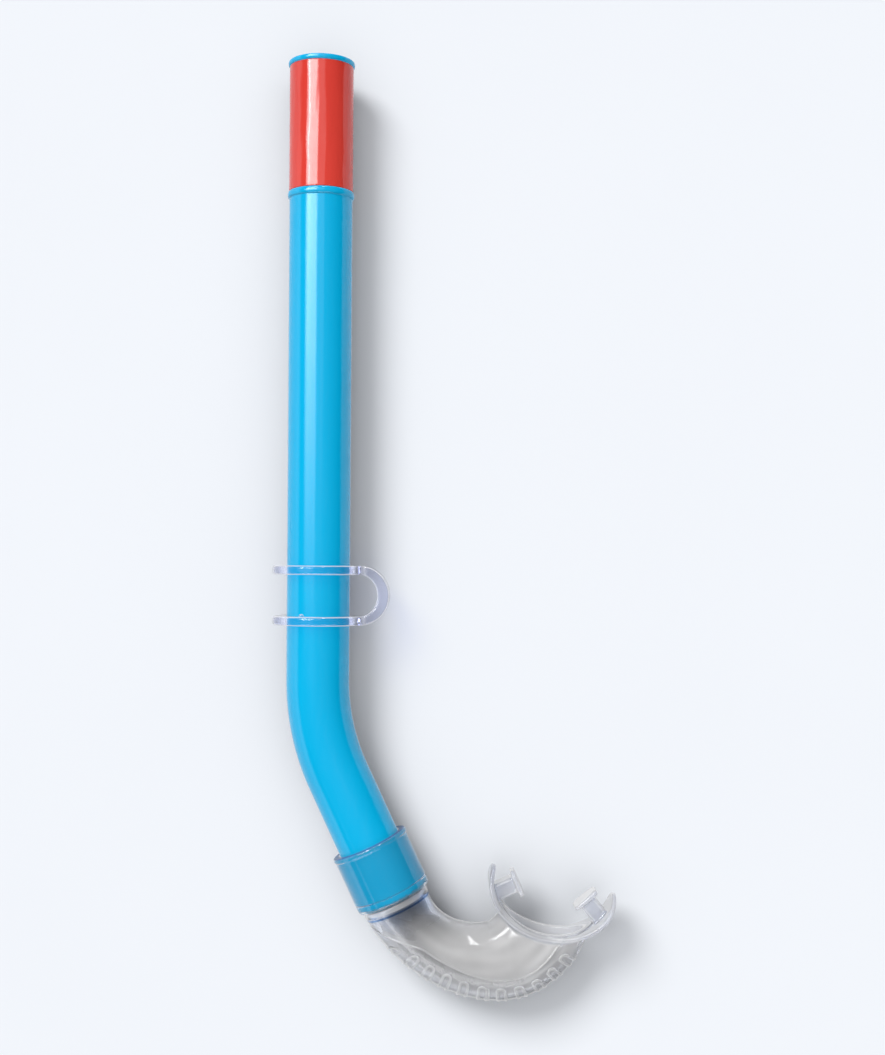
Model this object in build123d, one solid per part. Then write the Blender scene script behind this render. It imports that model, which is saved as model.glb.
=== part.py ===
from build123d import *
import os
from math import cos, radians, sin

# A junior J-shaped snorkel: an open plastic barrel with a coloured band, a soft clear keeper that
# holds it to a mask strap, and a clear mouthpiece that is pushed onto the barrel's lower end.
#
# Frame, in millimetres: the snorkel lies flat. The origin is the centre of the barrel's open upper
# end, +Y runs along the straight barrel and out of that end, +X points to the mouthpiece side, and
# +Z is up, square to the plane that holds the barrel, the elbow and the mouth.

# ---------------------------------------------------------------- barrel
BARREL_RADIUS = 12.0
BARREL_WALL = 1.6
BORE_RADIUS = BARREL_RADIUS - BARREL_WALL
STRAIGHT_LENGTH = 235.0
BEND_RADIUS = 86.0
BEND_ANGLE = 25.0
TAIL_LENGTH = 50.5
BEAD_PROUD = 0.65
BEAD_ROUND = 0.55
RIM_BEAD_LENGTH = 2.0
MIDDLE_BEAD_LENGTH = 2.7
TAIL_BEAD_LENGTH = 2.6
TAIL_BEAD_PROUD = 0.5

# ---------------------------------------------------------------- coloured band
BAND_LENGTH = 47.4
BAND_THICKNESS = 0.15
BAND_GAP = 0.02

# ---------------------------------------------------------------- mask strap keeper
KEEPER_CENTRE = 202.6
KEEPER_PITCH = 19.1
KEEPER_THICKNESS = 3.5
KEEPER_RING_RADIUS = 17.4
KEEPER_STRIP_WIDTH = 15.0
KEEPER_LOOP_REACH = 27.2
KEEPER_APEX_THICKNESS = 4.5
KEEPER_EDGE_ROUND = 0.9

# ---------------------------------------------------------------- mouthpiece
RUNNING_CLEARANCE = 0.05
CUFF_RADIUS = 14.6
CUFF_GRIP_LENGTH = 22.6
CUFF_SHOULDER = 1.5
CUFF_END_ROUND = 1.1
CUFF_LIP_RADIUS = 15.0
CUFF_LIP_LENGTH = 1.8
ELBOW_WALL = 2.2
FIRST_BEND_RADIUS = 39.0
SECOND_BEND_RADIUS = 22.0
SECOND_BEND_START = 0.0
NECK_LEAD = 6.0
PASSAGE_LEAD = 16.0
# Sections of the elbow: heading in degrees from +X, half width in plan, half height across it.
ELBOW_SECTIONS = [
    (-65, 13.1, 13.1),
    (-52, 12.1, 12.5),
    (-38, 11.9, 12.2),
    (-22, 12.7, 11.9),
    (-8, 14.0, 11.6),
    (8, 15.2, 11.1),
    (25, 16.0, 10.4),
    (40, 16.5, 9.8),
    (55, 16.9, 9.3),
    (70, 17.4, 9.0),
]

MOUTH_TILT = 13.2
FLANGE_HALF_WIDTH = 24.5
FLANGE_DEPTH = 19.3
FLANGE_THICKNESS = 1.9
FLANGE_HEIGHT = 22.5
FLANGE_TIP_REACH = 2.6
FLANGE_CENTRE = (89.8, -312.5)

LUG_SIDE = 19.0
LUG_DEPTH = 6.1
LUG_SLOPE = 36.7
LUG_NECK = (6.4, 6.2, 9.0)
LUG_PAD = (10.6, 1.6, 11.5)
LUG_PAD_ROUND = 2.6
LUG_EDGE_ROUND = 0.6

GRIP_PAD_PROUD = 0.35
RIB_PROUD = 0.9
RIB_WIDTH = 4.4
RIB_PITCH = 8.1
RIB_FIRST_HEADING = -46.3
RIB_LAST_HEADING = 60.0
RIB_SETBACK = 3.3
HEADING_STEP = 0.5
# Edge of the grip pad: heading along the elbow, and distance out from the elbow's centre line.
GRIP_EDGE = [(-62, 13.4), (-52, 7.0), (-38, 0.9), (-20, 1.6), (5, 4.9), (35, 7.4), (72, 7.6)]

PRISM = 40.0


def tail_point(distance):
    """A point on the axis of the barrel's lower leg, measured from the end of the bend."""
    x = BEND_RADIUS * (1 - cos(radians(BEND_ANGLE))) + distance * sin(radians(BEND_ANGLE))
    y = -STRAIGHT_LENGTH - BEND_RADIUS * sin(radians(BEND_ANGLE)) - distance * cos(radians(BEND_ANGLE))
    return Vector(x, y, 0)


TAIL_AXIS = Vector(sin(radians(BEND_ANGLE)), -cos(radians(BEND_ANGLE)), 0)
UP = Vector(0, 0, 1)


def tail_plane(distance):
    """A plane square to the lower leg, with its normal pointing towards the mouthpiece."""
    return Plane(origin=tail_point(distance), x_dir=UP, z_dir=TAIL_AXIS)


def barrel_plane(depth):
    """A plane square to the straight barrel at a depth below the open end, normal pointing down."""
    return Plane(origin=(0, -depth, 0), x_dir=UP, z_dir=(0, -1, 0))


def round_bar(plane, radius, length):
    return extrude(plane * Circle(radius), length)


def barrel_core(radius, overrun=0.0):
    """The bent bar that the barrel's outside or bore follows."""
    straight = round_bar(barrel_plane(-overrun), radius, STRAIGHT_LENGTH + overrun)
    bend_axis = Axis((BEND_RADIUS, -STRAIGHT_LENGTH, 0), (0, 0, 1))
    bend = revolve(barrel_plane(STRAIGHT_LENGTH) * Circle(radius), bend_axis, BEND_ANGLE)
    tail = round_bar(tail_plane(0), radius, TAIL_LENGTH + overrun)
    return straight + bend + tail


def bead(plane, radius, length):
    """A round-edged disc that becomes a bead once the bore is cut through it."""
    disc = round_bar(plane, radius, length)
    return fillet(disc.edges(), BEAD_ROUND)


def barrel():
    """One plastic tube: straight leg, 25 degree bend and lower leg, with three moulded beads."""
    middle_depth = RIM_BEAD_LENGTH + BAND_LENGTH
    bead_radius = BARREL_RADIUS + BEAD_PROUD
    body = barrel_core(BARREL_RADIUS)
    body += bead(barrel_plane(0), bead_radius, RIM_BEAD_LENGTH)
    body += bead(barrel_plane(middle_depth), bead_radius, MIDDLE_BEAD_LENGTH)
    tail_bead_plane = tail_plane(TAIL_LENGTH - TAIL_BEAD_LENGTH)
    body += bead(tail_bead_plane, BARREL_RADIUS + TAIL_BEAD_PROUD, TAIL_BEAD_LENGTH)
    return body - barrel_core(BORE_RADIUS, overrun=1.0)


def visibility_band():
    """A thin film sleeve wrapped on the barrel between the rim bead and the middle bead."""
    plane = barrel_plane(RIM_BEAD_LENGTH + BAND_GAP)
    sleeve = Circle(BARREL_RADIUS + BAND_THICKNESS) - Circle(BARREL_RADIUS)
    return extrude(plane * sleeve, BAND_LENGTH - 2 * BAND_GAP)


def strap_keeper():
    """A soft strip folded into a U, with a round eye at each end that slides on the barrel."""
    middle = KEEPER_PITCH / 2
    outer = middle + KEEPER_THICKNESS / 2
    inner = middle - KEEPER_THICKNESS / 2
    fold_x = KEEPER_LOOP_REACH - outer
    fold = Circle(outer) - Ellipse(outer - KEEPER_APEX_THICKNESS, inner)
    fold &= Pos(PRISM / 2, 0) * Rectangle(PRISM, PRISM)
    legs = Rectangle(fold_x, 2 * outer) - Rectangle(fold_x, 2 * inner)
    profile = Pos(fold_x, -KEEPER_CENTRE) * fold + Pos(fold_x / 2, -KEEPER_CENTRE) * legs
    strip = extrude(profile, KEEPER_STRIP_WIDTH / 2, both=True)
    sides = strip.edges().filter_by(lambda edge: abs(edge.center().Z) > KEEPER_STRIP_WIDTH / 2 - 0.1)
    keeper = fillet(sides, KEEPER_EDGE_ROUND)
    for centre in (KEEPER_CENTRE - middle, KEEPER_CENTRE + middle):
        plane = barrel_plane(centre - KEEPER_THICKNESS / 2)
        eye = round_bar(plane, KEEPER_RING_RADIUS, KEEPER_THICKNESS)
        keeper += fillet(eye.edges(), KEEPER_EDGE_ROUND)
    hole_plane = barrel_plane(KEEPER_CENTRE - PRISM)
    return keeper - round_bar(hole_plane, BARREL_RADIUS + RUNNING_CLEARANCE, 2 * PRISM)


def elbow_plane(heading, along=0.0):
    """A plane across the elbow where its centre line runs at a heading, in degrees from +X.

    The plane's x direction points out of the bend, and its normal runs towards the mouth."""
    start_heading = BEND_ANGLE - 90
    first = min(heading, SECOND_BEND_START)
    point = tail_point(TAIL_LENGTH + CUFF_SHOULDER)
    point += bend_step(FIRST_BEND_RADIUS, start_heading, first)
    if heading > SECOND_BEND_START:
        point += bend_step(SECOND_BEND_RADIUS, SECOND_BEND_START, heading)
    direction = Vector(cos(radians(heading)), sin(radians(heading)), 0)
    outward = Vector(sin(radians(heading)), -cos(radians(heading)), 0)
    return Plane(origin=point + direction * along, x_dir=outward, z_dir=direction)


def bend_step(radius, start, end):
    """How far the centre line moves over an arc that turns from one heading to another."""
    a, b = radians(start), radians(end)
    return Vector(radius * (sin(b) - sin(a)), radius * (cos(a) - cos(b)), 0)


def between(table, heading):
    """Second value of a table's rows at a heading, by straight lines between the rows."""
    for (h0, v0, *_), (h1, v1, *_) in zip(table, table[1:]):
        if h0 <= heading <= h1:
            return v0 + (v1 - v0) * (heading - h0) / (h1 - h0)
    return table[-1][1]


def elbow_loft(growth, lead_out=0.0):
    """The elbow as a solid, grown or shrunk all round, with a straight run at each end."""
    start, start_width, start_height = ELBOW_SECTIONS[0]
    _, end_width, end_height = ELBOW_SECTIONS[-1]
    lead_in = elbow_plane(start, -CUFF_SHOULDER)
    sections = [lead_in * Ellipse(start_width + growth, start_height + growth)]
    for heading, width, height in ELBOW_SECTIONS:
        sections.append(elbow_plane(heading) * Ellipse(width + growth, height + growth))
    if lead_out:
        mouth = elbow_plane(90 - MOUTH_TILT, lead_out)
        sections.append(mouth * Ellipse(end_width + growth, end_height + growth))
    return loft(sections)


def mouth_plane():
    """Centre of the mouth flange's tips: x along the bite, y out towards the wearer's mouth."""
    along_bite = (cos(radians(MOUTH_TILT)), -sin(radians(MOUTH_TILT)), 0)
    return Plane(origin=(*FLANGE_CENTRE, 0), x_dir=along_bite, z_dir=(0, 0, 1))


def flange():
    """The curved shield that sits between lips and gums: half an oval, with round ends."""
    plane = mouth_plane()
    outer = Ellipse(FLANGE_HALF_WIDTH, FLANGE_DEPTH)
    inner = Ellipse(FLANGE_HALF_WIDTH - FLANGE_THICKNESS, FLANGE_DEPTH - FLANGE_THICKNESS)
    away = Pos(0, FLANGE_TIP_REACH - PRISM / 2) * Rectangle(2 * PRISM, PRISM)
    shield = extrude(plane * ((outer - inner) & away), FLANGE_HEIGHT / 2, both=True)
    round_end = FLANGE_HEIGHT / 2
    side = Pos(FLANGE_TIP_REACH - round_end, 0) * Circle(round_end)
    side += Pos(FLANGE_TIP_REACH - round_end - PRISM / 2, 0) * Rectangle(PRISM, FLANGE_HEIGHT)
    side_plane = Plane(origin=plane.origin, x_dir=plane.y_dir, z_dir=plane.x_dir)
    return shield & extrude(side_plane * side, PRISM, both=True)


def mouth_space(margin):
    """The space inside the flange, which the wearer's teeth take up."""
    inside = Ellipse(FLANGE_HALF_WIDTH - margin, FLANGE_DEPTH - margin)
    inside += Pos(0, PRISM / 2) * Rectangle(2 * (FLANGE_HALF_WIDTH - margin), PRISM)
    return extrude(mouth_plane() * inside, PRISM, both=True)


def lug(side):
    """One bite lug: a short neck on the flange's inner face, with a pad across its end."""
    frame = mouth_plane()
    root = frame.origin + frame.x_dir * (side * LUG_SIDE) - frame.y_dir * LUG_DEPTH
    slope = radians(LUG_SLOPE)
    direction = frame.x_dir * (-side * cos(slope)) + frame.y_dir * sin(slope)
    across = direction.cross(UP)
    neck_width, neck_length, neck_height = LUG_NECK
    pad_width, pad_thickness, pad_height = LUG_PAD
    sunk = Plane(origin=root - direction * FLANGE_THICKNESS, x_dir=across, z_dir=direction)
    neck = extrude(sunk * Rectangle(neck_width, neck_height), neck_length + FLANGE_THICKNESS)
    end = Plane(origin=root + direction * neck_length, x_dir=across, z_dir=direction)
    pad = extrude(end * RectangleRounded(pad_width, pad_height, LUG_PAD_ROUND), pad_thickness)
    return neck + fillet(pad.edges().group_by(Axis(end.origin, direction))[-1], LUG_EDGE_ROUND)


def grip_pad():
    """The raised area round the outside of the elbow that carries the ribs."""
    edge = [elbow_plane(h).from_local_coords((d, 0, 0)) for h, d in GRIP_EDGE]
    far = [elbow_plane(h).from_local_coords((PRISM, 0, 0)) for h, _ in reversed(GRIP_EDGE)]
    outline = make_face([Spline(*edge), Polyline(edge[-1], *far, edge[0])])
    return elbow_loft(GRIP_PAD_PROUD) & extrude(outline, PRISM, both=True, dir=(0, 0, 1))


def rib_headings():
    """Headings that space the ribs evenly along the outside of the elbow."""
    heading = RIB_FIRST_HEADING
    travel = RIB_PITCH
    while heading < RIB_LAST_HEADING:
        if travel >= RIB_PITCH:
            travel -= RIB_PITCH
            yield heading
        bend = FIRST_BEND_RADIUS if heading < SECOND_BEND_START else SECOND_BEND_RADIUS
        travel += radians(HEADING_STEP) * (bend + between(ELBOW_SECTIONS, heading))
        heading += HEADING_STEP


def ribs():
    """Arch-ended ribs that wrap round the outside of the elbow."""
    grown = elbow_loft(RIB_PROUD)
    found = []
    for heading in rib_headings():
        arch = between(GRIP_EDGE, heading) + RIB_SETBACK + RIB_WIDTH / 2
        plane = elbow_plane(heading)
        flat = Plane(origin=plane.origin, x_dir=plane.x_dir, z_dir=(0, 0, 1))
        slot = Pos(arch, 0) * Circle(RIB_WIDTH / 2)
        slot += Pos(arch + PRISM / 2, 0) * Rectangle(PRISM, RIB_WIDTH)
        found.append(grown & extrude(flat * slot, PRISM, both=True))
    return found


def cuff_socket():
    """What is cut from the cuff: room for the barrel, its end bead and a lead at the lip."""
    grip = CUFF_GRIP_LENGTH + CUFF_LIP_LENGTH
    start = TAIL_LENGTH - grip
    socket = round_bar(tail_plane(start), BARREL_RADIUS + RUNNING_CLEARANCE, grip + RUNNING_CLEARANCE)
    groove_radius = BARREL_RADIUS + TAIL_BEAD_PROUD + RUNNING_CLEARANCE
    groove_length = TAIL_BEAD_LENGTH + 2 * RUNNING_CLEARANCE
    groove_start = TAIL_LENGTH - TAIL_BEAD_LENGTH - RUNNING_CLEARANCE
    return socket + round_bar(tail_plane(groove_start), groove_radius, groove_length)


def cuff():
    """The sleeve that grips the barrel, with a rounded lip at its open end."""
    start = TAIL_LENGTH - CUFF_GRIP_LENGTH
    sleeve = round_bar(tail_plane(start), CUFF_RADIUS, CUFF_GRIP_LENGTH + CUFF_SHOULDER)
    sleeve = fillet(sleeve.edges().group_by(Axis(tail_point(start), TAIL_AXIS))[-1], CUFF_END_ROUND)
    lip = round_bar(tail_plane(start), CUFF_LIP_RADIUS, CUFF_LIP_LENGTH)
    return sleeve + fillet(lip.edges(), CUFF_LIP_LENGTH / 3)


def mouthpiece():
    """One soft clear moulding: cuff, ribbed elbow, mouth flange and two bite lugs."""
    neck = elbow_loft(0, lead_out=NECK_LEAD)
    body = neck + grip_pad()
    for rib in ribs():
        body += rib
    body -= mouth_space(FLANGE_THICKNESS)
    body += cuff()
    body += flange()
    body -= cuff_socket()
    body -= elbow_loft(-ELBOW_WALL, lead_out=PASSAGE_LEAD)
    for side in (-1, 1):
        body += lug(side)
    return body


PARTS = {
    "barrel": barrel,
    "visibility_band": visibility_band,
    "strap_keeper": strap_keeper,
    "mouthpiece": mouthpiece,
}

os.makedirs("parts", exist_ok=True)
for name, make in PARTS.items():
    export_step(make(), f"parts/{name}.step")
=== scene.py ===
from math import cos, pi, radians, sin

import bpy
import numpy as np
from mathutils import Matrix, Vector


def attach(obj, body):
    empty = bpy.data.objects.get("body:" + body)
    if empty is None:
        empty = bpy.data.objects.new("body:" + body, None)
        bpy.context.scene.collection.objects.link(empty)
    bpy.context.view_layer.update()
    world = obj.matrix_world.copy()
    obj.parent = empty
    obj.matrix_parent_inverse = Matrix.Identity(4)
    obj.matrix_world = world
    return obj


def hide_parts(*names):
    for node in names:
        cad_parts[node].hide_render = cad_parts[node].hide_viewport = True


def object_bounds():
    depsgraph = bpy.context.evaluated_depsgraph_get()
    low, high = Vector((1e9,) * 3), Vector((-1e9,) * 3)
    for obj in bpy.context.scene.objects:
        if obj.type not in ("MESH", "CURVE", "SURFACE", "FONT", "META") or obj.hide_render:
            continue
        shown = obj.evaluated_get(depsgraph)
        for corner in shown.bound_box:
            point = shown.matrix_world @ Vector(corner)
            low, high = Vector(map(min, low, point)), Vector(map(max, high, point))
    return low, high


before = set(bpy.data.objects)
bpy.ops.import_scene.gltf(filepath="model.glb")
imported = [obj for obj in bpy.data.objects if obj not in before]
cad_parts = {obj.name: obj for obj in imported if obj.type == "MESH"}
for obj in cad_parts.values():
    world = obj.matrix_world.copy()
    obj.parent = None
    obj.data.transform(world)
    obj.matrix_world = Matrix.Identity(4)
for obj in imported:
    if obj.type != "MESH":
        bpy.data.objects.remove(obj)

# A junior snorkel lying flat, seen from above: a blue bent barrel with a red film band, a clear
# strap keeper and a clear soft mouthpiece. Shapes are worked out in millimetres in the part's frame
# (+Y along the straight barrel, +X to the mouthpiece, +Z up) and turned into metres at the end.

MM = 0.001
CAD_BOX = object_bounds()

# ---------------------------------------------------------------- sizes shared with the CAD

BARREL_R = 12.0
BORE_R = 10.4
BEAD_POWER = 2.6
RIM_BEAD_PROUD = 0.65
MIDDLE_BEAD = (2.7, 0.65)
END_BEAD = (2.6, 0.5)
STRAIGHT = 235.0
BEND_R = 86.0
BEND = radians(25)
TAIL = 50.5
BAND_TOP = 2.0
BAND_LENGTH = 47.4
BAND_THICK = 0.15

KEEPER_Y = -202.6
KEEPER_PITCH = 19.1
KEEPER_THICK = 3.5
KEEPER_EYE_R = 17.4
KEEPER_HALF_WIDTH = 7.5
KEEPER_REACH = 27.2
KEEPER_APEX = 4.5
KEEPER_EYE_BORE = 12.04
KEEPER_NUB_X, KEEPER_NUB_Z, KEEPER_NUB_R = -5.2, 13.9, 0.95

CUFF_TOP = 27.9
CUFF_BOTTOM = 51.0
CUFF_END = 52.0
CUFF_R = 14.6
LIP_R = 15.0
LIP_HALF = 1.05
SEAT_R = 11.93
SEAT_FLARE = 0.55
SEAT_GROOVE = 0.48
WALL = 2.2
R1, R2 = 39.0, 22.0
MOUTH_TILT = radians(13.2)
FLANGE_A, FLANGE_B = 24.5, 19.3
FLANGE_THICK = 1.9
FLANGE_HALF_HEIGHT = 11.25
FLANGE_TIP = 2.6
FLANGE_CENTRE = np.array([89.8, -312.5])
SECTION_TABLE = np.array([
    (-65, 13.1, 13.1), (-52, 12.1, 12.5), (-38, 11.9, 12.2), (-22, 12.7, 11.9), (-8, 14.0, 11.6),
    (8, 15.2, 11.1), (25, 16.0, 10.4), (40, 16.5, 9.8), (55, 16.9, 9.3), (70, 17.4, 9.0),
    (77, 17.5, 8.9),
])
GRIP_EDGE = np.array([
    (-62, 13.4), (-52, 7.0), (-38, 0.9), (-20, 1.6), (5, 4.9), (35, 7.4), (72, 7.6),
])
GRIP_PROUD = 0.4
RIB_HEADINGS = (-46.3, -37.3, -28.4, -19.6, -11.0, -2.4, 8.6, 20.6, 32.4, 44.0, 55.4)
RIB_HALF_WIDTH = 2.2
RIB_SETBACK = 3.3
RIB_PROUD = 0.48
RIB_HOLLOW = 0.34
LUG_SIDE, LUG_BACK = 19.0, -6.1
LUG_TURN = radians(36.7)
LUG_NECK = (3.1, 4.4, 5.0)
LUG_PAD = (5.3, 5.75, 0.85)

KEEPER_GRID = 0.3
MOUTHPIECE_GRID = 0.28


# ---------------------------------------------------------------- fields and meshing

def smooth_min(a, b, k):
    h = np.clip(0.5 + 0.5 * (b - a) / k, 0, 1)
    return b + (a - b) * h - k * h * (1 - h)


def smooth_max(a, b, k):
    return -smooth_min(-a, -b, k)


def step(x, low, high):
    t = np.clip((x - low) / (high - low), 0, 1)
    return t * t * (3 - 2 * t)


def ellipse(u, v, a, b):
    """Distance to an ellipse, close to exact near its outline; negative inside."""
    k0 = np.sqrt((u / a) ** 2 + (v / b) ** 2) + 1e-9
    k1 = np.sqrt((u / (a * a)) ** 2 + (v / (b * b)) ** 2) + 1e-9
    return np.where(k0 < 0.3, -np.minimum(a, b) * (1 - k0), k0 * (k0 - 1) / k1)


def round_both(d, e, r):
    """Distance to a body bounded in two directions, rounded with radius r where they meet.

    d and e are the distances past its two faces."""
    outside = np.sqrt(np.maximum(d + r, 0) ** 2 + np.maximum(e + r, 0) ** 2)
    return outside + np.minimum(np.maximum(d, e) + r, 0) - r


def surface_nets(inside, values, lo, h):
    """Quads round every cell that the surface crosses."""
    nx, ny, nz = values.shape
    total = np.zeros((nx - 1, ny - 1, nz - 1), np.int8)
    corners = [(a, b, c) for a in (0, 1) for b in (0, 1) for c in (0, 1)]
    for a, b, c in corners:
        total += inside[a:nx - 1 + a, b:ny - 1 + b, c:nz - 1 + c]
    active = (total > 0) & (total < 8)
    cells = np.argwhere(active)
    index = np.full(active.shape, -1, np.int64)
    index[active] = np.arange(len(cells))
    place = np.zeros((len(cells), 3))
    count = np.zeros(len(cells))
    i, j, k = cells.T
    for corner in corners:
        for axis in range(3):
            if corner[axis]:
                continue
            other = list(corner)
            other[axis] = 1
            fa = values[i + corner[0], j + corner[1], k + corner[2]]
            fb = values[i + other[0], j + other[1], k + other[2]]
            crossed = (fa < 0) != (fb < 0)
            t = fa[crossed] / (fa[crossed] - fb[crossed])
            place[crossed] += corner
            place[crossed, axis] += t
            count[crossed] += 1
    verts = (cells + place / count[:, None]) * h + lo
    quads = []
    for axis in range(3):
        first, second = [slice(None)] * 3, [slice(None)] * 3
        first[axis], second[axis] = slice(0, -1), slice(1, None)
        a, b = inside[tuple(first)], inside[tuple(second)]
        crossing = np.argwhere(a != b)
        u, w = [(1, 2), (2, 0), (0, 1)][axis]
        leaving = a[tuple(crossing.T)]
        ring = []
        for du, dw in ((-1, -1), (0, -1), (0, 0), (-1, 0)):
            at = crossing.copy()
            at[:, u] += du
            at[:, w] += dw
            ring.append(index[tuple(at.T)])
        ring = np.stack(ring, 1)
        ring[~leaving] = ring[~leaving][:, ::-1]
        quads.append(ring)
    return verts, np.concatenate(quads)


def gradient(field, p, e=0.04):
    g = np.empty_like(p)
    for axis in range(3):
        d = np.zeros(3)
        d[axis] = e
        g[:, axis] = (field(*(p + d).T) - field(*(p - d).T)) / (2 * e)
    return g


def mesh_of_field(field, lo, hi, h):
    """Mesh of a field that is its own mirror image in Z; vertices are pulled onto the surface."""
    lo, hi = np.array(lo, float), np.array(hi, float)
    xs = np.arange(lo[0], hi[0] + h, h)
    ys = np.arange(lo[1], hi[1] + h, h)
    zs = (np.arange(int(np.ceil(hi[2] / h)) + 2) + 0.5) * h
    half = np.empty((len(xs), len(ys), len(zs)), np.float32)
    for k, z in enumerate(zs):
        x, y = np.meshgrid(xs, ys, indexing="ij")
        half[:, :, k] = field(x, y, np.full_like(x, z))
    values = np.concatenate([half[:, :, ::-1], half], axis=2)
    values[values == 0] = 1e-6
    start = np.array([xs[0], ys[0], -zs[-1]])
    verts, quads = surface_nets(values < 0, values, start, h)
    for _ in range(3):
        g = gradient(field, verts)
        size = np.maximum((g * g).sum(1), 0.05)
        move = g * (field(*verts.T) / size)[:, None]
        length = np.linalg.norm(move, axis=1, keepdims=True)
        verts = verts - move * np.minimum(1, 0.3 * h / np.maximum(length, 1e-9))
    g = gradient(field, verts)
    normals = g / np.maximum(np.linalg.norm(g, axis=1, keepdims=True), 1e-9)
    return verts, quads, normals


def rounded_edges(field, p, reach=0.32):
    """0 on flat or gently curved surface, 1 on tightly rounded outer edges."""
    total = -6 * field(*p.T)
    for axis in range(3):
        d = np.zeros(3)
        d[axis] = reach
        total = total + field(*(p + d).T) + field(*(p - d).T)
    return step(total / reach ** 2, 0.35, 1.1)


def make_piece(name, verts, quads, body, node, material, normals=None, looks=None):
    """Adds a mesh piece that rides on a body and stands for a CAD node, which it hides."""
    mesh = bpy.data.meshes.new(name)
    mesh.vertices.add(len(verts))
    mesh.vertices.foreach_set("co", (np.asarray(verts) * MM).astype(np.float32).ravel())
    mesh.loops.add(quads.size)
    mesh.loops.foreach_set("vertex_index", np.asarray(quads, np.int32).ravel())
    mesh.polygons.add(len(quads))
    mesh.polygons.foreach_set("loop_start", np.arange(0, quads.size, 4, dtype=np.int32))
    mesh.update(calc_edges=True)
    mesh.polygons.foreach_set("use_smooth", np.ones(len(quads), bool))
    if normals is not None:
        mesh.normals_split_custom_set_from_vertices(normals.astype(np.float32))
    for key, values in (looks or {}).items():
        layer = mesh.attributes.new(key, "FLOAT", "POINT")
        layer.data.foreach_set("value", values.astype(np.float32))
    obj = bpy.data.objects.new(name, mesh)
    bpy.context.scene.collection.objects.link(obj)
    obj.data.materials.append(material)
    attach(obj, body)
    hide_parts(node)


# ---------------------------------------------------------------- the path of the barrel and elbow

def barrel_path(s):
    """Point on the barrel's centre line and its heading, s millimetres from the open end."""
    s = np.asarray(s, float)
    turn = np.clip((s - STRAIGHT) / BEND_R, 0, BEND)
    after = np.maximum(s - STRAIGHT - BEND_R * BEND, 0)
    x = BEND_R * (1 - np.cos(turn)) + after * np.sin(turn)
    y = -np.minimum(s, STRAIGHT) - BEND_R * np.sin(turn) - after * np.cos(turn)
    return x, y, turn


BEND_END = np.array([BEND_R * (1 - cos(BEND)), -STRAIGHT - BEND_R * sin(BEND)])
TAIL_DIR = np.array([sin(BEND), -cos(BEND)])
TAIL_OUT = np.array([-cos(BEND), -sin(BEND)])
START = BEND_END + CUFF_END * TAIL_DIR
C1 = START - R1 * TAIL_OUT
C2 = C1 + np.array([0, R2 - R1])
END_HEADING = pi / 2 - MOUTH_TILT
END_DIR = np.array([cos(END_HEADING), sin(END_HEADING)])
END_OUT = np.array([sin(END_HEADING), -cos(END_HEADING)])
END = C2 + R2 * END_OUT
MOUTH_X = np.array([cos(MOUTH_TILT), -sin(MOUTH_TILT)])
MOUTH_Y = np.array([sin(MOUTH_TILT), cos(MOUTH_TILT)])


def along_elbow(x, y):
    """Heading in degrees, offset out of the bend, distance from the arc's centre, and how far past
    the cuff's end along the lower leg."""
    before = (x - START[0]) * TAIL_DIR[0] + (y - START[1]) * TAIL_DIR[1]
    past = (x - END[0]) * END_DIR[0] + (y - END[1]) * END_DIR[1]
    first = x < C1[0]
    cx = np.where(first, x - C1[0], x - C2[0])
    cy = np.where(first, y - C1[1], y - C2[1])
    far = np.sqrt(cx * cx + cy * cy)
    heading = np.degrees(np.arctan2(cx, -cy))
    offset = far - np.where(first, R1, R2)
    lead = (before < 0) & first
    offset = np.where(lead, (x - START[0]) * TAIL_OUT[0] + (y - START[1]) * TAIL_OUT[1], offset)
    heading = np.where(lead, -65.0, heading)
    exit_run = (past > 0) & ~first
    offset = np.where(exit_run, (x - END[0]) * END_OUT[0] + (y - END[1]) * END_OUT[1], offset)
    heading = np.where(exit_run, 76.8, heading)
    return np.clip(heading, -65, 76.8), offset, far, before


SMOOTH_H = np.linspace(-65, 77, 285)
WIDTH_FIT = np.polyval(np.polyfit(SECTION_TABLE[:, 0], SECTION_TABLE[:, 1], 6), SMOOTH_H)
HEIGHT_FIT = np.polyval(np.polyfit(SECTION_TABLE[:, 0], SECTION_TABLE[:, 2], 4), SMOOTH_H)


def soften(table, width):
    """Values of a table at even headings, with its corners rounded."""
    fine = np.interp(SMOOTH_H, table[:, 0], table[:, 1])
    n = int(width / (SMOOTH_H[1] - SMOOTH_H[0])) | 1
    window = np.hanning(n + 2)[1:-1]
    padded = np.pad(fine, n // 2, mode="edge")
    return np.convolve(padded, window / window.sum(), mode="valid")


EDGE_FIT = soften(GRIP_EDGE, 14)


# ---------------------------------------------------------------- mouthpiece

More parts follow.
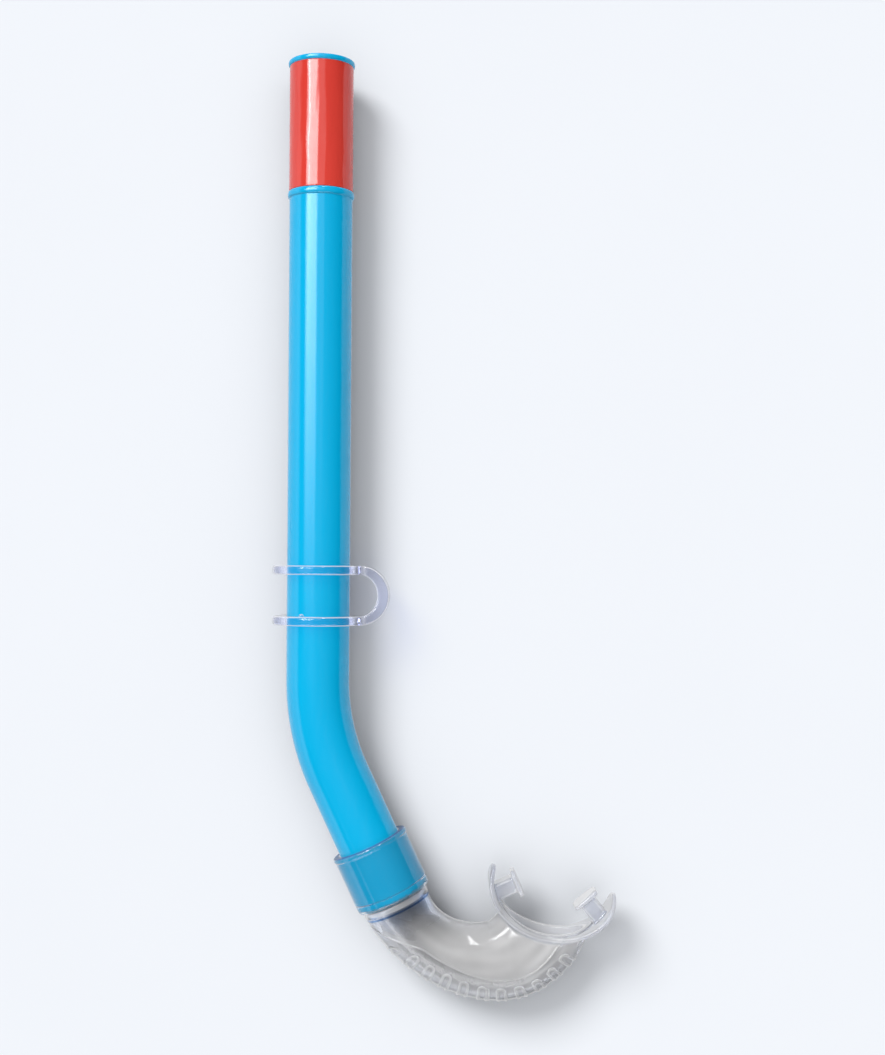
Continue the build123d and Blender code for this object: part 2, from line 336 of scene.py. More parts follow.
def mouthpiece_field(x, y, z):
    """Distance to the mouthpiece: elbow with its grip, cuff, flange and lugs, less the passage."""
    x, y, z = (np.asarray(v, float) for v in (x, y, z))
    heading, out, far, before = along_elbow(x, y)
    a = np.interp(heading, SMOOTH_H, WIDTH_FIT)
    b = np.interp(heading, SMOOTH_H, HEIGHT_FIT)
    edge = np.interp(heading, SMOOTH_H, EDGE_FIT)

    # raised grip area and its arched ribs, each hollowed a little along its middle
    pad = step(out - edge, 0, 0.55) * step(heading, -62, -57) * (1 - step(heading, 73, 75))
    rise = GRIP_PROUD * pad
    arch = edge + RIB_SETBACK + RIB_HALF_WIDTH
    for rib in RIB_HEADINGS:
        across = far * np.sin(np.radians(heading - rib))
        from_rib = np.sqrt(across ** 2 + np.minimum(out - arch, 0) ** 2) - RIB_HALF_WIDTH
        near = np.abs(heading - rib) < 20
        crown = RIB_PROUD * step(-from_rib, -0.05, 0.45) - RIB_HOLLOW * step(-from_rib, 0.95, 1.45)
        rise = rise + np.where(near, pad * crown, 0)
    tube = ellipse(out, z, a, b) - rise
    tube = np.maximum(tube, -before - 6)

    # cuff with a rolled lip, a groove under it and a softened lower end
    radial = np.sqrt(((x - START[0]) * TAIL_OUT[0] + (y - START[1]) * TAIL_OUT[1]) ** 2 + z * z)
    down = before + CUFF_END
    cuff_from = CUFF_TOP + 0.6
    cuff_ends = np.abs(down - (cuff_from + CUFF_BOTTOM) / 2) - (CUFF_BOTTOM - cuff_from) / 2
    cuff = round_both(radial - CUFF_R, cuff_ends, 1.2)
    lip = round_both(radial - LIP_R, np.abs(down - CUFF_TOP - LIP_HALF) - LIP_HALF, 0.85)
    cuff = smooth_min(cuff, lip, 0.25)
    body = smooth_min(tube, cuff, 1.6)

    # mouth flange
    mx = (x - FLANGE_CENTRE[0]) * MOUTH_X[0] + (y - FLANGE_CENTRE[1]) * MOUTH_X[1]
    my = (x - FLANGE_CENTRE[0]) * MOUTH_Y[0] + (y - FLANGE_CENTRE[1]) * MOUTH_Y[1]
    half = FLANGE_THICK / 2
    sheet = np.abs(ellipse(mx, np.minimum(my, 0.6 * my), FLANGE_A - half, FLANGE_B - half)) - half
    height = FLANGE_HALF_HEIGHT - 1.3 * np.exp(-(mx / 7.5) ** 2)
    tip = my - (FLANGE_TIP - height)
    rim = np.where(tip > 0, np.sqrt(tip ** 2 + z * z) - height, np.abs(z) - height)
    flange = round_both(sheet, rim, 0.85)
    inner = ellipse(mx, np.minimum(my, 0.6 * my), FLANGE_A - FLANGE_THICK, FLANGE_B - FLANGE_THICK)
    inner = np.where(my > 0, np.abs(mx) - (FLANGE_A - FLANGE_THICK), inner)
    body = np.maximum(body, -inner)
    body = smooth_min(body, flange, 2.0)

    # the passage and the barrel's seat
    passage = ellipse(out, z, a - WALL, b - WALL)
    passage = np.maximum(passage, TAIL - 0.1 - down)
    passage = np.maximum(passage, my - 6)
    body = smooth_max(body, -passage, 0.5)
    seat_r = SEAT_R + SEAT_FLARE * (1 - step(down, CUFF_TOP, CUFF_TOP + 1.6))
    seat_r = seat_r + SEAT_GROOVE * step(down, TAIL - 3.0, TAIL - 2.3)
    seat = np.maximum(radial - seat_r, np.abs(down - TAIL + 20.05) - 20.0)
    top = np.maximum(radial - seat_r, np.abs(down - CUFF_TOP - 1) - 4)
    body = np.maximum(body, -np.minimum(seat, top))

    # bite lugs: t runs along a lug and c across it
    neck_c, neck_z, neck_t = LUG_NECK
    pad_c, pad_z, pad_t = LUG_PAD
    for side in (-1, 1):
        dx, dy = -side * cos(LUG_TURN), sin(LUG_TURN)
        lx, ly = mx - side * LUG_SIDE, my - LUG_BACK
        t = lx * dx + ly * dy
        c = -lx * dy + ly * dx
        sides = np.maximum(np.abs(c) - neck_c, np.abs(z) - neck_z)
        neck = round_both(sides, np.abs(t - 2.2) - neck_t, 0.9)
        neck = np.maximum(neck, round_both(np.abs(c) - neck_c, np.abs(z) - neck_z, 1.0))
        flat = round_both(np.abs(c) - pad_c, np.abs(z) - pad_z, 2.6)
        pad_plate = round_both(flat, np.abs(t - 7.0) - pad_t, 0.6)
        lug = smooth_min(neck, pad_plate, 0.9)
        body = smooth_min(body, lug, 0.9)
    return body


# ---------------------------------------------------------------- strap keeper

def keeper_field(x, y, z):
    """Distance to the keeper: a strip folded into a U, with a round eye on each leg."""
    x, y, z = (np.asarray(v, float) for v in (x, y, z))
    half = KEEPER_THICK / 2
    outer = KEEPER_PITCH / 2 + half
    fold_x = KEEPER_REACH - outer
    v = y - KEEPER_Y
    legs = np.abs(np.abs(v) - KEEPER_PITCH / 2) - half
    legs = np.maximum(legs, -x)
    bow = np.maximum(np.sqrt((x - fold_x) ** 2 + v * v) - outer,
                     -ellipse(x - fold_x, v, outer - KEEPER_APEX, KEEPER_PITCH / 2 - half))
    profile = np.where(x > fold_x, bow, legs)
    width = KEEPER_HALF_WIDTH - 0.5 * step(x, fold_x - 2, KEEPER_REACH)
    strip = round_both(profile, np.abs(z) - width, 1.0)
    radial = np.sqrt(x * x + z * z)
    plate = np.abs(np.abs(v) - KEEPER_PITCH / 2) - half
    eye = round_both(radial - KEEPER_EYE_R + 0.01, plate, 1.05)
    body = np.maximum(smooth_min(strip, eye, 2.0), np.where(x > fold_x, bow, plate))
    nub_v = half + 0.1 - KEEPER_PITCH / 2
    from_nub = np.sqrt((x - KEEPER_NUB_X) ** 2 + (v - nub_v) ** 2 + (z - KEEPER_NUB_Z) ** 2)
    body = smooth_min(body, from_nub - KEEPER_NUB_R, 0.4)
    hole = radial - KEEPER_EYE_BORE
    return smooth_max(body, -hole, 0.5)


# ---------------------------------------------------------------- materials

class Nodes:
    """Short calls for building a node material."""

    def __init__(self, owner, output="OutputMaterial"):
        self.owner = owner
        owner.use_nodes = True
        self.tree = owner.node_tree
        self.tree.nodes.clear()
        self.output = self.add(output)

    def add(self, kind, inputs=None, **settings):
        node = self.tree.nodes.new("ShaderNode" + kind)
        for key, value in settings.items():
            setattr(node, key, value)
        for key, value in (inputs or {}).items():
            if isinstance(value, bpy.types.NodeSocket):
                self.tree.links.new(value, node.inputs[key])
            else:
                node.inputs[key].default_value = value
        return node

    def noise(self, scale, detail=2.0, stretch=(1, 1, 1)):
        place = self.add("TexCoord").outputs["Object"]
        place = self.add("Mapping", {"Vector": place, "Scale": stretch}).outputs[0]
        inputs = {"Vector": place, "Scale": scale, "Detail": detail}
        return self.add("TexNoise", inputs).outputs["Fac"]

    def remap(self, value, low, high, start=0.3, end=0.7):
        inputs = {"Value": value, "From Min": start, "From Max": end, "To Min": low, "To Max": high}
        return self.add("MapRange", inputs).outputs[0]

    def mix_colour(self, fac, a, b, blend="MIX"):
        node = self.add("Mix", data_type="RGBA", blend_type=blend)
        for socket, value in ((node.inputs[0], fac), (node.inputs[6], a), (node.inputs[7], b)):
            if isinstance(value, bpy.types.NodeSocket):
                self.tree.links.new(value, socket)
            else:
                socket.default_value = value
        return node.outputs[2]

    def math(self, operation, a, b=0.0):
        return self.add("Math", {0: a, 1: b}, operation=operation).outputs[0]

    def ramp(self, value, start, end, low=0.0, high=1.0):
        """A smooth change from low to high while the value goes from start to end."""
        inputs = {"Value": value, "From Min": start, "From Max": end, "To Min": low, "To Max": high}
        return self.add("MapRange", inputs, interpolation_type="SMOOTHSTEP").outputs[0]

    def between(self, value, start, end, soft):
        """One between start and end, falling smoothly to zero on both sides."""
        rising = self.ramp(value, start - soft, start + soft)
        return self.math("MULTIPLY", rising, self.ramp(value, end - soft, end + soft, 1.0, 0.0))

    def blend(self, fac, a, b):
        """A number that goes from a to b."""
        node = self.add("Mix", {0: fac, 2: a, 3: b}, data_type="FLOAT")
        return node.outputs[0]

    def mix_shader(self, fac, a, b):
        return self.add("MixShader", {0: fac, 1: a, 2: b}).outputs[0]

    def bump(self, height, distance, strength=1.0, normal=None):
        inputs = {"Height": height, "Distance": distance, "Strength": strength}
        if normal is not None:
            inputs["Normal"] = normal
        return self.add("Bump", inputs).outputs[0]

    def finish(self, surface, volume=None):
        self.tree.links.new(surface, self.output.inputs["Surface"])
        if volume is not None:
            self.tree.links.new(volume, self.output.inputs["Volume"])
        return self.owner

    def dull_to_neighbours(self, surface, colour):
        """Light that bounces on to the floor leaves as a dull colour, so shadows stay neutral."""
        dull = self.add("BsdfDiffuse", {"Color": colour}).outputs[0]
        return self.mix_shader(self.add("LightPath").outputs["Is Diffuse Ray"], surface, dull)


def new_material(name):
    return Nodes(bpy.data.materials.new(name))


def blue_plastic():
    """Glossy moulded plastic with faint draw marks, and a painted pale glow along its outline; less
    shiny where clear plastic lies on it.
    """
    m = new_material("blue_tube_plastic")
    drift = m.noise(9, 2, (1, 0.25, 1))
    streak = m.noise(260, 3, (1, 0.03, 1))
    colour = m.mix_colour(m.remap(drift, 0, 1), (0.0005, 0.42, 0.745, 1), (0.001, 0.45, 0.785, 1))
    colour = m.mix_colour(m.remap(streak, 0, 0.08), colour, (0.02, 0.52, 0.88, 1))
    rough = m.remap(m.noise(700, 3, (1, 0.1, 1)), 0.10, 0.17)
    normal = m.bump(streak, 0.00001, 0.3)
    normal = m.bump(m.noise(1900, 2), 0.000005, 0.3, normal)
    wetted = m.add("LightPath").outputs["Is Transmission Ray"]
    shine = m.ramp(wetted, 0, 1, 0.5, 0.03)
    surface = m.add("BsdfPrincipled", {
        "Base Color": colour, "Roughness": rough, "Normal": normal,
        "IOR": 1.43, "Specular IOR Level": shine,
    })
    # painted light: a pale glowing rim, an emission mixed in where the surface turns away from view
    facing = m.add("LayerWeight", {"Blend": 0.5}).outputs["Facing"]
    painted_rim_glow = m.add("Emission", {"Color": (0.55, 0.72, 0.86, 1), "Strength": 0.9}).outputs[0]
    with_painted_rim_glow = m.mix_shader(m.ramp(facing, 0.72, 0.95, 0.0, 0.5), surface.outputs[0], painted_rim_glow)
    return m.finish(m.dull_to_neighbours(with_painted_rim_glow, (0.10, 0.13, 0.16, 1)))


def red_film():
    """Glossy film with fine creases."""
    m = new_material("red_band_film")
    drift = m.noise(14, 2, (1, 0.5, 1))
    colour = m.mix_colour(m.remap(drift, 0, 1), (0.66, 0.044, 0.031, 1), (0.74, 0.058, 0.041, 1))
    rough = m.remap(m.noise(420, 3), 0.04, 0.09)
    normal = m.bump(m.noise(300, 2, (1, 0.35, 1)), 0.00002, 0.5)
    surface = m.add("BsdfPrincipled", {
        "Base Color": colour, "Roughness": rough, "Normal": normal, "IOR": 1.47,
    })
    return m.finish(m.dull_to_neighbours(surface.outputs[0], (0.16, 0.11, 0.11, 1)))


def clear_soft(name, haze_colour, haze, rim, edge, absorb_colour, absorb, through, rough, deepest):
    """Clear soft plastic: refracts for the camera, lets soft light straight through for shadows.

    The mesh carries three values. "skin" scales the haze, and marks clear plastic where it is near
    0. "edge" draws the painted pale outlines of rounded edges, which glow. The third colours the
    plastic: up to 1 its own faint violet, towards 2 a painted dark blue shade. rim is the painted
    glowing outline where the surface turns away, through the share of light that each face passes
    on to shadows, deepest the number of bends a ray may take."""
    m = new_material(name)
    normal = m.bump(m.noise(55, 2), 0.00018, 0.25)
    normal = m.bump(m.noise(900, 2), 0.00001, 0.3, normal)
    skin = m.add("Attribute", attribute_name="skin").outputs["Fac"]
    rounded = m.add("Attribute", attribute_name="edge").outputs["Fac"]
    tint_and_painted_shade = m.add("Attribute", attribute_name="tint_and_painted_shade").outputs["Fac"]
    outside = m.math("SUBTRACT", 1.0, m.add("NewGeometry").outputs["Backfacing"])

    # the plastic itself
    roughness = m.math("ADD", m.remap(m.noise(160, 3), *rough), m.ramp(skin, 1.45, 1.6, 0.0, 0.16))
    bending = m.ramp(skin, 0.05, 0.3, 1.41, 1.24)
    # up to 1 the plastic's own faint violet tint; from 1.2 to 2 a painted dark blue shade
    tint_and_painted_shade_colour = m.mix_colour(tint_and_painted_shade, (1, 1, 1, 1), (0.87, 0.90, 0.965, 1))
    tint_and_painted_shade_colour = m.mix_colour(m.ramp(tint_and_painted_shade, 1.2, 2.0), tint_and_painted_shade_colour, (0.12, 0.34, 0.68, 1))
    glass = m.add("BsdfGlass", {
        "Color": tint_and_painted_shade_colour, "Roughness": roughness, "IOR": bending, "Normal": normal,
    }).outputs[0]

    # haze
    through_it = m.add("BsdfTranslucent", {"Color": haze_colour}).outputs[0]
    off_it = m.add("BsdfDiffuse", {"Color": haze_colour}).outputs[0]
    milk = m.mix_shader(0.78, through_it, off_it)
    amount = m.math("MULTIPLY", m.remap(m.noise(38, 3), haze * 0.8, haze * 1.2), skin)
    hazy = m.mix_shader(amount, glass, milk)

    # painted light: pale outlines that glow, half haze and half emission, though the plastic is no
    # lamp
    painted_outline_glow = m.add("Emission", {"Color": haze_colour, "Strength": 0.9}).outputs[0]
    glow = m.mix_shader(0.5, milk, painted_outline_glow)
    facing = m.add("LayerWeight", {"Blend": 0.5, "Normal": normal}).outputs["Facing"]
    lines = m.ramp(facing, 0.62, 0.82, 0.0, rim)
    lines = m.math("MULTIPLY", lines, m.ramp(skin, 0.03, 0.3, 0.12, 1.0))
    lines = m.math("MULTIPLY", lines, outside)
    lines = m.math("ADD", lines, m.math("MULTIPLY", rounded, edge))
    outlined = m.mix_shader(lines, hazy, glow)

    # reflections off the outside
    gloss = m.add("BsdfAnisotropic", {"Roughness": rough[0], "Normal": normal}).outputs[0]
    mirror = m.add("Fresnel", {"IOR": 1.41, "Normal": normal}).outputs[0]
    mirror = m.math("MULTIPLY", mirror, outside)
    mirror = m.math("MULTIPLY", mirror, m.ramp(skin, 0.03, 0.3, 0.55, 1.0))
    clear = m.mix_shader(mirror, outlined, gloss)

    # shadows, bounced light and rays that have bent too often go straight through
    path = m.add("LightPath")
    straight = m.math("MAXIMUM", path.outputs["Is Shadow Ray"], path.outputs["Is Diffuse Ray"])
    trapped_ray = m.math("GREATER_THAN", path.outputs["Ray Depth"], deepest)
    straight = m.math("MAXIMUM", straight, trapped_ray)
    blocked = m.math("MULTIPLY", m.ramp(skin, 0.05, 0.4), m.ramp(tint_and_painted_shade, 0.2, 0.8, 1.0, 0.45))
    blocked = m.math("MAXIMUM", blocked, m.between(tint_and_painted_shade, 0.9, 1.6, 0.04))
    passed = m.mix_colour(blocked, (0.75, 0.75, 0.75, 1), through)
    passing = m.add("BsdfTransparent", {"Color": passed}).outputs[0]
    volume = m.add("VolumeAbsorption", {"Color": absorb_colour, "Density": absorb})
    return m.finish(m.mix_shader(straight, clear, passing), volume.outputs[0])


BLUE = blue_plastic()
RED = red_film()
CLEAR = clear_soft(
    "clear_mouthpiece_silicone", haze_colour=(0.96, 0.955, 0.955, 1), haze=0.50,
    rim=0.75, edge=0.28, absorb_colour=(0.10, 0.20, 0.70, 1), absorb=10.0,
    through=(0.13, 0.13, 0.135, 1), rough=(0.015, 0.03), deepest=4.5)
VIOLET = clear_soft(
    "clear_keeper_plastic", haze_colour=(0.95, 0.96, 1.0, 1), haze=0.004,
    rim=0.5, edge=0.75, absorb_colour=(0.05, 0.20, 0.95, 1), absorb=14.0,
    through=(0.93, 0.935, 0.96, 1), rough=(0.01, 0.03), deepest=2.5)


# ---------------------------------------------------------------- barrel and band

def ring_mesh(centres, headings, radii, sides):
    """Vertices and quads of a closed tube of rings; the last ring joins back to the first."""
    angle = np.linspace(0, 2 * pi, sides, endpoint=False)
    verts = []
    for (cx, cy), turn, r in zip(centres, headings, radii):
        r = np.broadcast_to(r, angle.shape)
        ox, oy = -cos(turn), -sin(turn)
        across, up = r * np.cos(angle), r * np.sin(angle)
        verts.append(np.stack([cx + ox * across, cy + oy * across, up], 1))
    verts = np.concatenate(verts)
    rows = len(centres)
    i, j = np.meshgrid(np.arange(rows), np.arange(sides), indexing="ij")
    here, beside = i * sides + j, i * sides + (j + 1) % sides
    below, opposite = (i + 1) % rows * sides + j, (i + 1) % rows * sides + (j + 1) % sides
    quads = np.stack([here, beside, opposite, below], 2).reshape(-1, 4)
    return verts, quads


def bead(s, centre, length, proud):
    """Height of a rounded bead above the tube at distance s."""
    t = np.clip(np.abs(2 * (s - centre) / length), 0, 1)
    return proud * np.sqrt(1 - t ** BEAD_POWER)


def corner(s0, r0, radius, start, end):
    """A rounded corner of the barrel's wall, as distances along it and radii."""
    a = np.linspace(start, end, 7)
    return s0 + radius * np.cos(a), r0 + radius * np.sin(a)


def barrel_profile():
    """Distance along the barrel and radius, once round the wall: outside, lower end, bore, rim."""
    total = STRAIGHT + BEND_R * BEND + TAIL
    middle = BAND_TOP + BAND_LENGTH + MIDDLE_BEAD[0] / 2
    s = np.unique(np.round(np.concatenate([
        np.linspace(0.7, 3, 16), np.arange(3, total - 4, 1.6),
        np.linspace(middle - 1.9, middle + 1.9, 34), np.linspace(total - 4, total - 0.5, 26),
    ]), 4))
    r = BARREL_R + bead(s, middle, *MIDDLE_BEAD) + bead(s, total - END_BEAD[0] / 2, *END_BEAD)
    r = r + RIM_BEAD_PROUD * np.sqrt(1 - np.clip((s - 0.9) / (BAND_TOP - 0.9), 0, 1) ** BEAD_POWER)
    up_bore = np.arange(total - 1, 1, -1.6)
    parts = [
        corner(RIM_BEAD_PROUD, BARREL_R, RIM_BEAD_PROUD, pi, pi / 2),
        (s, r),
        corner(total - 0.5, r[-1] - 0.5, 0.5, pi / 2, 0),
        corner(total - 0.35, BORE_R + 0.35, 0.35, 0, -pi / 2),
        (up_bore, np.full(len(up_bore), BORE_R)),
        corner(0.45, BORE_R + 0.45, 0.45, -pi / 2, -pi),
    ]
    return np.concatenate([p[0] for p in parts]), np.concatenate([p[1] for p in parts])


def build_barrel():
    """The barrel: its wall's profile, swept round the bent centre line."""
    s, r = barrel_profile()
    x, y, turn = barrel_path(s)
    verts, quads = ring_mesh(np.stack([x, y], 1), turn, r, 144)
    make_piece("barrel_tube", verts, quads, "tube", "barrel", BLUE)


def waves(seed, count, *axes):
    """A smooth sum of sines over the given coordinates, about -1 to 1."""
    rng = np.random.default_rng(seed)
    total = 0
    for _ in range(count):
        phase = rng.uniform(0, 2 * pi)
        arg = phase
        for coordinate, low, high in axes:
            arg = arg + coordinate * rng.uniform(low, high) * rng.choice((-1, 1))
        total = total + np.sin(arg)
    return total / count


def ripples(seed, angle, y):
    """Fine creases that run mostly along the film."""
    rng = np.random.default_rng(seed)
    total = 0
    for count in (9, 13, 19, 26, 33):
        lean, phase = rng.uniform(-0.22, 0.22), rng.uniform(0, 2 * pi)
        swell = 0.5 + 0.5 * np.sin(rng.uniform(0.08, 0.3) * y + rng.uniform(0, 2 * pi))
        total = total + swell * np.sin(count * angle + lean * y + phase) / count
    return total


def build_band():
    """A film wrapped once round the barrel: slightly uneven, with its end lapped at the back."""
    sides = 420
    down = np.linspace(BAND_TOP + 0.03, BAND_TOP + BAND_LENGTH - 0.03, 150)
    angle = np.linspace(0, 2 * pi, sides, endpoint=False)
    behind = np.mod(angle + pi * 0.62, 2 * pi)
    lap = step(behind, 0, 0.05) * (1 - step(behind, 0.55, 0.75))
    radii = []
    for y in down:
        along = np.full(sides, y)
        broad = waves(3, 5, (along, 0.25, 0.9), (np.sin(angle), 1, 4), (np.cos(angle), 1, 4))
        fine = waves(4, 6, (along, 1.2, 2.6), (np.sin(angle), 3, 9), (np.cos(angle), 3, 9))
        uneven = 0.030 * broad + 0.008 * fine
        radii.append(BARREL_R + BAND_THICK + uneven + 0.22 * ripples(11, angle, y) + 0.09 * lap)
    inside = down[[-1, len(down) // 2, 0]]
    radii += [np.full(sides, BARREL_R + 0.01)] * len(inside)
    centres = [(0, -y) for y in down] + [(0, -y) for y in inside]
    verts, quads = ring_mesh(centres, [0] * len(centres), radii, sides)
    make_piece("visibility_band_film", verts, quads, "tube", "visibility_band", RED)


# ---------------------------------------------------------------- clear pieces

def build_keeper():
    """The keeper, with painted glowing outlines on its edges and a little haze where strip and eyes
    meet.
    """
    low, high = (-19, -216.5, -19), (29, -188.5, 18.6)
    verts, quads, normals = mesh_of_field(keeper_field, low, high, KEEPER_GRID)
    fold_x = KEEPER_REACH - KEEPER_PITCH / 2 - KEEPER_THICK / 2
    round_fold, on_plates = np.hypot(normals[:, 0], normals[:, 1]), np.abs(normals[:, 1])
    off_sheet = np.where(verts[:, 0] > fold_x, round_fold, on_plates)
    # painted light: the edge value marks the rounded edges of plates and fold for glowing outlines
    line = step(off_sheet, 0.55, 0.75) * (1 - step(off_sheet, 0.93, 1.0))
    corner_haze = step(verts[:, 0], 13, 15) * (1 - step(verts[:, 0], 17.5, 19.5))
    skin = 1 + 60 * corner_haze + 25 * (1 - step(verts[:, 0], -15, -12.5))
    looks = {
        "edge": rounded_edges(keeper_field, verts) * line,
        "skin": skin,
        "tint_and_painted_shade": np.zeros(len(verts)),
    }
    make_piece("strap_keeper_clear", verts, quads, "keeper", "strap_keeper",
               VIOLET, normals, looks)


def build_mouthpiece():
    """The mouthpiece, with the values that its material reads.

    The cuff is clear, the elbow hazy in streaks that follow its flow, and the grip less so. The
    elbow's haze is partly the silicone's milkiness and partly painted light. The flange is tinted
    faint violet and the bore's start darkened with painted shade. A painted pale collar and a
    painted dark blue arc stand for the barrel's end, seen through the wall, and the mouth of the
    lip is darkened with painted shade. Painted glowing outlines follow rounded edges."""
    low, high = (3, -360, -16), (118, -286, 15.6)
    verts, quads, normals = mesh_of_field(mouthpiece_field, low, high, MOUTHPIECE_GRID)
    heading, out, _, before = along_elbow(verts[:, 0], verts[:, 1])
    wide = np.interp(heading, SMOOTH_H, WIDTH_FIT)
    high_half = np.interp(heading, SMOOTH_H, HEIGHT_FIT)
    in_bore = ellipse(out, verts[:, 2], wide - WALL / 2, high_half - WALL / 2) < 0
    on_pad = step(out - np.interp(heading, SMOOTH_H, EDGE_FIT), -0.2, 0.8)
    mx, my = (verts[:, :2] - FLANGE_CENTRE) @ MOUTH_X, (verts[:, :2] - FLANGE_CENTRE) @ MOUTH_Y
    off_flange = step(ellipse(mx, np.minimum(my, 0.6 * my), FLANGE_A, FLANGE_B), 0.3, 2.0)
    up_tube = -(normals[:, 0] * TAIL_DIR[0] + normals[:, 1] * TAIL_DIR[1])

    # partly real milkiness, partly painted light for light the silicone gathers; stronger towards
    # the mouth
    flow = waves(21, 6, (out, 0.5, 1.3), (heading, 0.02, 0.09))
    brighter = (0.95 + 0.20 * step(heading, -45, 50)) * (1 + 0.22 * flow)
    inner_half = 1 - step(out, 2, 8)
    past_cuff = step(before, -0.5 + 2 * inner_half, 14 + 8 * inner_half)
    skin = np.where(in_bore, 0.5, brighter * (1 - 0.5 * on_pad)) * (0.03 + 0.97 * past_cuff)
    skin = np.where(in_bore, skin, np.minimum(skin, 0.65 + 0.7 * off_flange))
    # painted light: a pale band of haze just below the cuff, for the barrel's end as it shows
    # through the wall
    collar = step(before, -0.8, -0.4) * (1 - step(before, 1.4, 1.9)) * ~in_bore
    skin = np.maximum(skin, 0.75 * collar)

    # painted light: the edge value gives glowing outlines on rounded edges
    line = rounded_edges(mouthpiece_field, verts)
    line = line * np.where(in_bore, 0.2, 0.12 + 0.88 * step(before, -3, 3))
    # painted light: a strong glow on the bore near the mouth, which brightens the inside of the
    # flange
    line = np.maximum(line, 1.6 * step(heading, 45, 70) * in_bore)

    # painted shade: the bore's start below the cuff is stained dark blue
    shaded_bore = 1.45 * in_bore * (1 - step(before, 6, 18)) * (0.6 + 0.4 * inner_half)
    # painted shade: a dark blue ring at the mouth of the lip
    painted_lip_shade = step(up_tube, 0.55, 0.85) * (before < CUFF_TOP - CUFF_END + 1.2)
    # painted light: a dark blue arc standing for the image of the barrel's end seen through the
    # wall
    arc = step(before, 2.0, 2.3) * (1 - step(before, 2.9, 3.2)) * ~in_bore
    tint_and_painted_shade = np.maximum(shaded_bore, 0.8 * (1 - off_flange))
    tint_and_painted_shade = np.maximum(tint_and_painted_shade, 2.0 * painted_lip_shade)
    tint_and_painted_shade = np.maximum(tint_and_painted_shade, 1.9 * arc)

    looks = {"edge": line, "skin": skin, "tint_and_painted_shade": tint_and_painted_shade}
    make_piece("mouthpiece_clear", verts, quads, "mouth_unit", "mouthpiece",
               CLEAR, normals, looks)


# ---------------------------------------------------------------- floor, light and camera

FLOOR_GAP = 0.0002
FLOOR_HALF = 40.0
KEY_FROM = (-0.439, 0.561, 0.702)
KEY_ANGLE = radians(25)
KEY_ENERGY = 1.98
BOX_LEVEL = 16.0
CAMERA_AT = (0.0472, -0.1889, 0.5905)
CAMERA_TURN = radians(0.39)


def floor():
    """A plain pale surface just below the lowest point of the part."""
    m = new_material("pale_floor")
    cloudy = m.remap(m.noise(6, 3), 0, 1)
    colour = m.mix_colour(cloudy, (0.80, 0.825, 0.865, 1), (0.81, 0.835, 0.875, 1))
    surface = m.add("BsdfPrincipled", {
        "Base Color": colour, "Roughness": 0.8, "Specular IOR Level": 0.0,
    })
    material = m.finish(surface.outputs[0])
    z = CAD_BOX[0].z - FLOOR_GAP
    h = FLOOR_HALF
    corners = [(-h, -h, z), (h, -h, z), (h, h, z), (-h, h, z)]
    mesh = bpy.data.meshes.new("floor")
    mesh.from_pydata(corners, [], [(0, 1, 2, 3)])
    plane = bpy.data.objects.new("floor", mesh)
    plane.data.materials.append(material)
    bpy.context.scene.collection.objects.link(plane)


def key_light():
    """A large soft light from the upper left; its reflections are drawn by the room instead."""
    data = bpy.data.lights.new("key", "SUN")
    data.angle = KEY_ANGLE
    data.energy = KEY_ENERGY
    lamp = bpy.data.objects.new("key", data)
    lamp.rotation_mode = "QUATERNION"
    lamp.rotation_quaternion = Vector(KEY_FROM).to_track_quat("Z", "Y")
    lamp.visible_glossy = False
    bpy.context.scene.collection.objects.link(lamp)


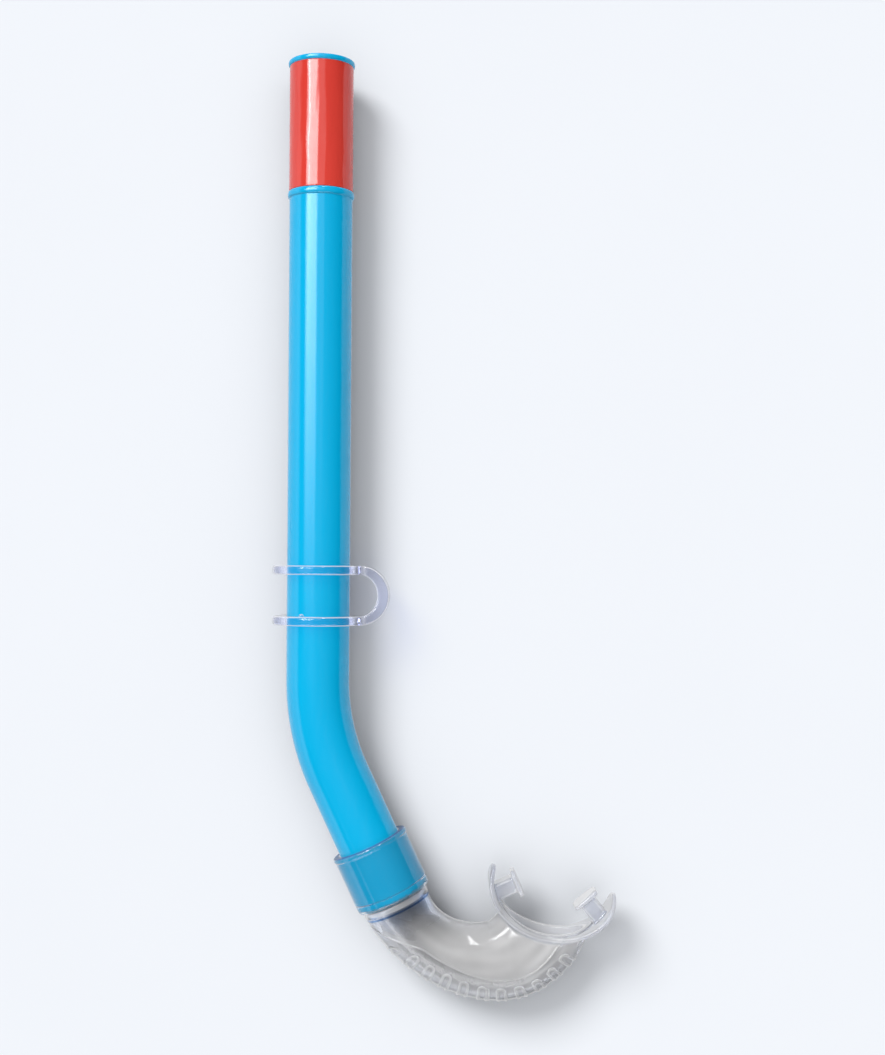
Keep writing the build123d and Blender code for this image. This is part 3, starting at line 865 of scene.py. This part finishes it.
def room():
    """A soft overhead dome for diffuse light, and softboxes that only show as reflections.

    u and v are how far a ray leans to +X and +Y for each unit that it rises."""
    world = bpy.data.worlds.new("studio_room")
    bpy.context.scene.world = world
    w = Nodes(world, "OutputWorld")
    axes = w.add("SeparateXYZ", {0: w.add("TexCoord").outputs["Generated"]})
    x, y, z = (axes.outputs[i] for i in range(3))
    up = w.math("MAXIMUM", z, 0.02)
    u = w.math("DIVIDE", x, up)
    v = w.math("DIVIDE", y, up)
    dome = w.math("MULTIPLY", w.math("POWER", up, 2.0), 1.36)

    # the two long strips that the barrel shows
    left = w.math("MULTIPLY", w.ramp(u, -1.42, -0.85), w.ramp(u, -0.24, -0.10, 1.0, 0.0))
    left = w.math("MULTIPLY", left, BOX_LEVEL)
    overhead = w.math("MULTIPLY", w.between(u, -0.15, 0.30, 0.06), 1.7)
    boxes = w.math("MULTIPLY", w.math("ADD", left, overhead), w.ramp(v, -0.10, 0.42))
    boxes = w.math("MULTIPLY", boxes, w.ramp(v, 0.42, 0.62, 1.0, 0.0))

    # the two glints on the elbow
    slant = w.math("SUBTRACT", v, w.math("MULTIPLY", u, 0.95))
    far_left = w.between(slant, 1.10, 1.48, 0.05)
    far_left = w.math("MULTIPLY", far_left, w.between(u, -0.85, -0.14, 0.05))
    lean = w.math("SUBTRACT", u, w.math("MULTIPLY", v, 0.215))
    top = w.math("MULTIPLY", w.between(lean, -0.05, 0.07, 0.03), w.between(v, 0.95, 4.0, 0.08))
    glints = w.math("MULTIPLY", w.math("ADD", far_left, top), BOX_LEVEL)
    boxes = w.math("ADD", boxes, glints)

    # the room's lit walls, low down at the left, ahead and behind
    boxes = w.math("ADD", boxes, w.ramp(u, -2.2, -4.5, 0.0, 1.3))
    side = w.math("ABSOLUTE", w.math("DIVIDE", x, w.math("ADD", w.math("ABSOLUTE", y), 0.01)))
    walls = w.ramp(side, 0.5, 0.8, 1.0, 0.0)
    walls = w.math("MULTIPLY", walls, w.ramp(w.math("ABSOLUTE", v), 1.5, 2.5))
    boxes = w.math("ADD", boxes, walls)
    back = w.math("MULTIPLY", w.between(v, -2.2, -1.0, 0.3), w.between(u, -1.2, 1.2, 0.3))
    boxes = w.math("ADD", boxes, w.math("MULTIPLY", back, 5.0))

    # each kind of ray sees its own room
    mirrored = w.math("ADD", boxes, w.math("MULTIPLY", dome, 0.12))
    refracted = w.math("ADD", w.math("MULTIPLY", boxes, 0.3), 0.9)
    path = w.add("LightPath")
    level = w.blend(path.outputs["Is Glossy Ray"], dome, mirrored)
    level = w.blend(path.outputs["Is Transmission Ray"], level, refracted)
    level = w.blend(path.outputs["Is Camera Ray"], level, 0.92)
    light = w.add("Background", {"Color": (0.985, 0.99, 1.0, 1), "Strength": level})
    w.finish(light.outputs[0])
    bpy.context.scene.view_settings.view_transform = "Standard"


def camera():
    """Straight above, a little past the middle, as close as the photograph was taken."""
    data = bpy.data.cameras.new("camera")
    data.lens, data.sensor_width, data.shift_y = 52.9, 36.0, 0.0308
    cam = bpy.data.objects.new("camera", data)
    cam.location = CAMERA_AT
    cam.rotation_euler = (0, 0, CAMERA_TURN)
    bpy.context.scene.collection.objects.link(cam)
    bpy.context.scene.camera = cam


build_barrel()
build_band()
build_keeper()
build_mouthpiece()
floor()
key_light()
room()
camera()
